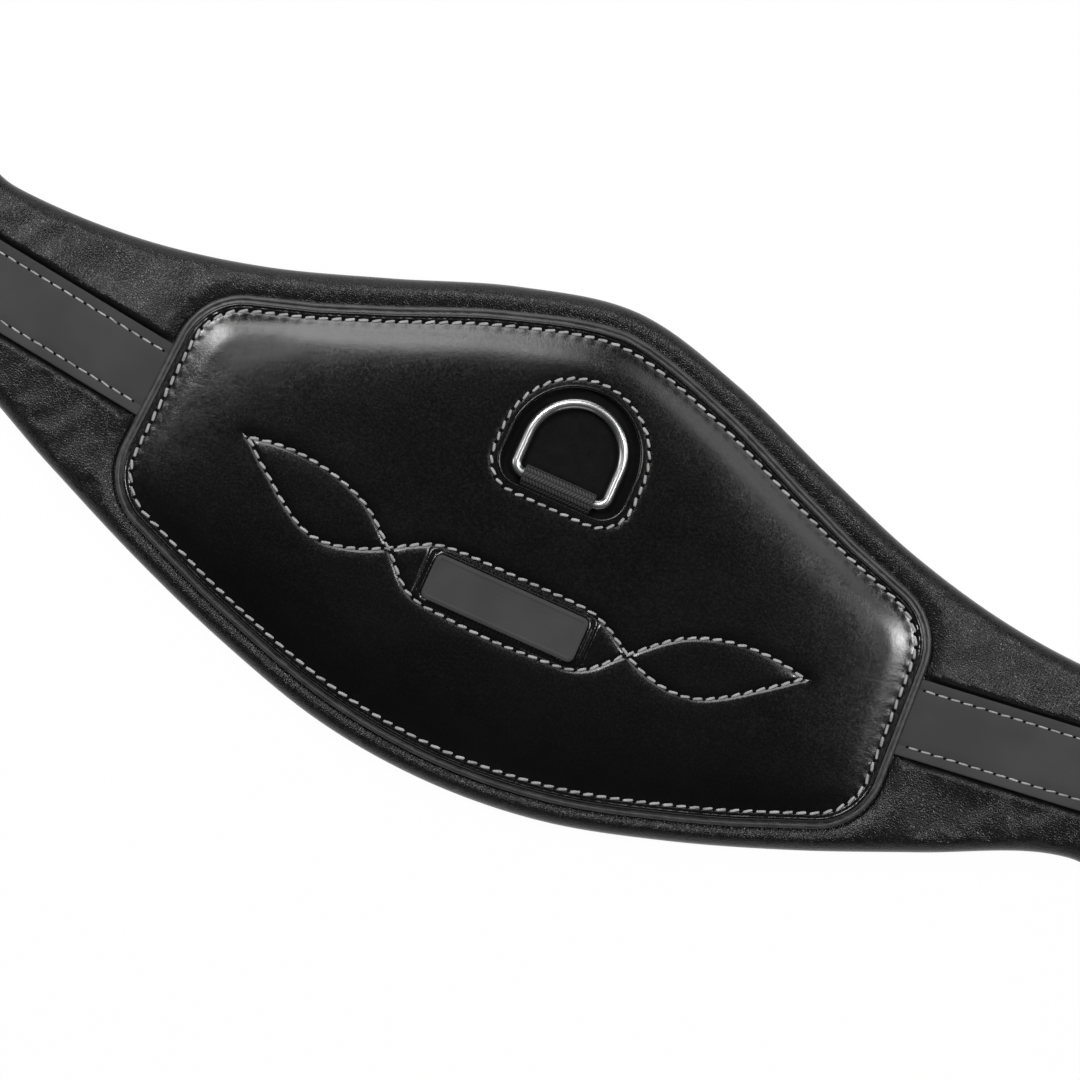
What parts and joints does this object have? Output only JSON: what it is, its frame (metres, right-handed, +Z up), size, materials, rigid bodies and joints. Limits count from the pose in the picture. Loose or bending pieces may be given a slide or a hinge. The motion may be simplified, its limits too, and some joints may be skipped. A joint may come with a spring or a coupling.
{
  "type": "saddle girth",
  "caption": "Short padded leather saddle girth with a shaped centre plate, a ring in a window, and elastic ends with roller buckles.",
  "frame": {"origin": "centre of the girth's outline on the surface it lies on", "axes": "+X along the girth, +Y towards the edge that carries the ring, +Z up from the underside to the outer face"},
  "size_m": [0.7334, 0.193, 0.0233],
  "materials": {
    "soft_leather": "soft black leather with a fine pebbled grain",
    "plate_leather": "smooth black leather with a glossy dressing",
    "edge_leather": "satin black leather with a sealed edge",
    "foam": "closed-cell foam",
    "webbing": "matte ribbed webbing",
    "elastic": "woven elastic webbing",
    "rubber": "smooth matte rubber face",
    "steel": "polished stainless steel"
  },
  "bodies": {
    "girth": {"pad_liner": "soft_leather", "pad_foam": "foam", "load_web": "webbing", "pad_cover": "soft_leather", "plate_backing": "edge_leather", "plate_foam": "foam", "plate_top": "plate_leather", "window_lining": "webbing", "window_binding": "plate_leather", "ring_keeper": "webbing", "name_patch": "rubber", "strap_left": "rubber", "strap_right": "rubber", "yoke_base_left": "soft_leather", "yoke_base_right": "soft_leather", "yoke_cap_left": "plate_leather", "yoke_cap_right": "plate_leather"},
    "ring": {"dee_ring": "steel"},
    "pull_lf": {"elastic_lf": "elastic", "chape_lf": "edge_leather"},
    "buckle_lf": {"frame_lf": "steel"},
    "prong_lf": {"tongue_lf": "steel"},
    "spinner_lf": {"roller_lf": "steel"},
    "pull_lr": {"elastic_lr": "elastic", "chape_lr": "edge_leather"},
    "buckle_lr": {"frame_lr": "steel"},
    "prong_lr": {"tongue_lr": "steel"},
    "spinner_lr": {"roller_lr": "steel"},
    "pull_rf": {"elastic_rf": "elastic", "chape_rf": "edge_leather"},
    "buckle_rf": {"frame_rf": "steel"},
    "prong_rf": {"tongue_rf": "steel"},
    "spinner_rf": {"roller_rf": "steel"},
    "pull_rr": {"elastic_rr": "elastic", "chape_rr": "edge_leather"},
    "buckle_rr": {"frame_rr": "steel"},
    "prong_rr": {"tongue_rr": "steel"},
    "spinner_rr": {"roller_rr": "steel"}
  },
  "joints": [
    {"name": "ring_lift", "type": "hinge", "parent": "girth", "child": "ring", "pos_m": [0, 0.024, 0.01835], "axis": [1, 0, 0], "range_deg": [0, 110]},
    {"name": "stretch_lf", "type": "slide", "parent": "girth", "child": "pull_lf", "axis": [-0.9925, 0.1219, 0], "range_m": [0, 0.025], "stiffness_N_per_m": 4000, "deforming": ["elastic_lf"]},
    {"name": "lift_lf", "type": "hinge", "parent": "pull_lf", "child": "buckle_lf", "pos_m": [-0.3207, 0.04507, 0.01588], "axis": [0.1219, 0.9925, 0], "range_deg": [0, 75]},
    {"name": "prong_lift_lf", "type": "hinge", "parent": "buckle_lf", "child": "prong_lf", "pos_m": [-0.3207, 0.04507, 0.01588], "axis": [0.1219, 0.9925, 0], "range_deg": [0, 65]},
    {"name": "spin_lf", "type": "hinge", "parent": "buckle_lf", "child": "spinner_lf", "pos_m": [-0.35048, 0.04872, 0.01588], "axis": [0.1219, 0.9925, 0], "continuous": true},
    {"name": "stretch_lr", "type": "slide", "parent": "girth", "child": "pull_lr", "axis": [-0.9925, 0.1219, 0], "range_m": [0, 0.025], "stiffness_N_per_m": 4000, "deforming": ["elastic_lr"]},
    {"name": "lift_lr", "type": "hinge", "parent": "pull_lr", "child": "buckle_lr", "pos_m": [-0.32679, -0.00456, 0.01588], "axis": [0.1219, 0.9925, 0], "range_deg": [0, 75]},
    {"name": "prong_lift_lr", "type": "hinge", "parent": "buckle_lr", "child": "prong_lr", "pos_m": [-0.32679, -0.00456, 0.01588], "axis": [0.1219, 0.9925, 0], "range_deg": [0, 65]},
    {"name": "spin_lr", "type": "hinge", "parent": "buckle_lr", "child": "spinner_lr", "pos_m": [-0.35657, -0.00091, 0.01588], "axis": [0.1219, 0.9925, 0], "continuous": true},
    {"name": "stretch_rf", "type": "slide", "parent": "girth", "child": "pull_rf", "axis": [0.9925, 0.1219, 0], "range_m": [0, 0.025], "stiffness_N_per_m": 4000, "deforming": ["elastic_rf"]},
    {"name": "lift_rf", "type": "hinge", "parent": "pull_rf", "child": "buckle_rf", "pos_m": [0.3207, 0.04507, 0.01588], "axis": [0.1219, -0.9925, 0], "range_deg": [0, 75]},
    {"name": "prong_lift_rf", "type": "hinge", "parent": "buckle_rf", "child": "prong_rf", "pos_m": [0.3207, 0.04507, 0.01588], "axis": [0.1219, -0.9925, 0], "range_deg": [0, 65]},
    {"name": "spin_rf", "type": "hinge", "parent": "buckle_rf", "child": "spinner_rf", "pos_m": [0.35048, 0.04872, 0.01588], "axis": [0.1219, -0.9925, 0], "continuous": true},
    {"name": "stretch_rr", "type": "slide", "parent": "girth", "child": "pull_rr", "axis": [0.9925, 0.1219, 0], "range_m": [0, 0.025], "stiffness_N_per_m": 4000, "deforming": ["elastic_rr"]},
    {"name": "lift_rr", "type": "hinge", "parent": "pull_rr", "child": "buckle_rr", "pos_m": [0.32679, -0.00456, 0.01588], "axis": [0.1219, -0.9925, 0], "range_deg": [0, 75]},
    {"name": "prong_lift_rr", "type": "hinge", "parent": "buckle_rr", "child": "prong_rr", "pos_m": [0.32679, -0.00456, 0.01588], "axis": [0.1219, -0.9925, 0], "range_deg": [0, 65]},
    {"name": "spin_rr", "type": "hinge", "parent": "buckle_rr", "child": "spinner_rr", "pos_m": [0.35657, -0.00091, 0.01588], "axis": [0.1219, -0.9925, 0], "continuous": true}
  ]
}
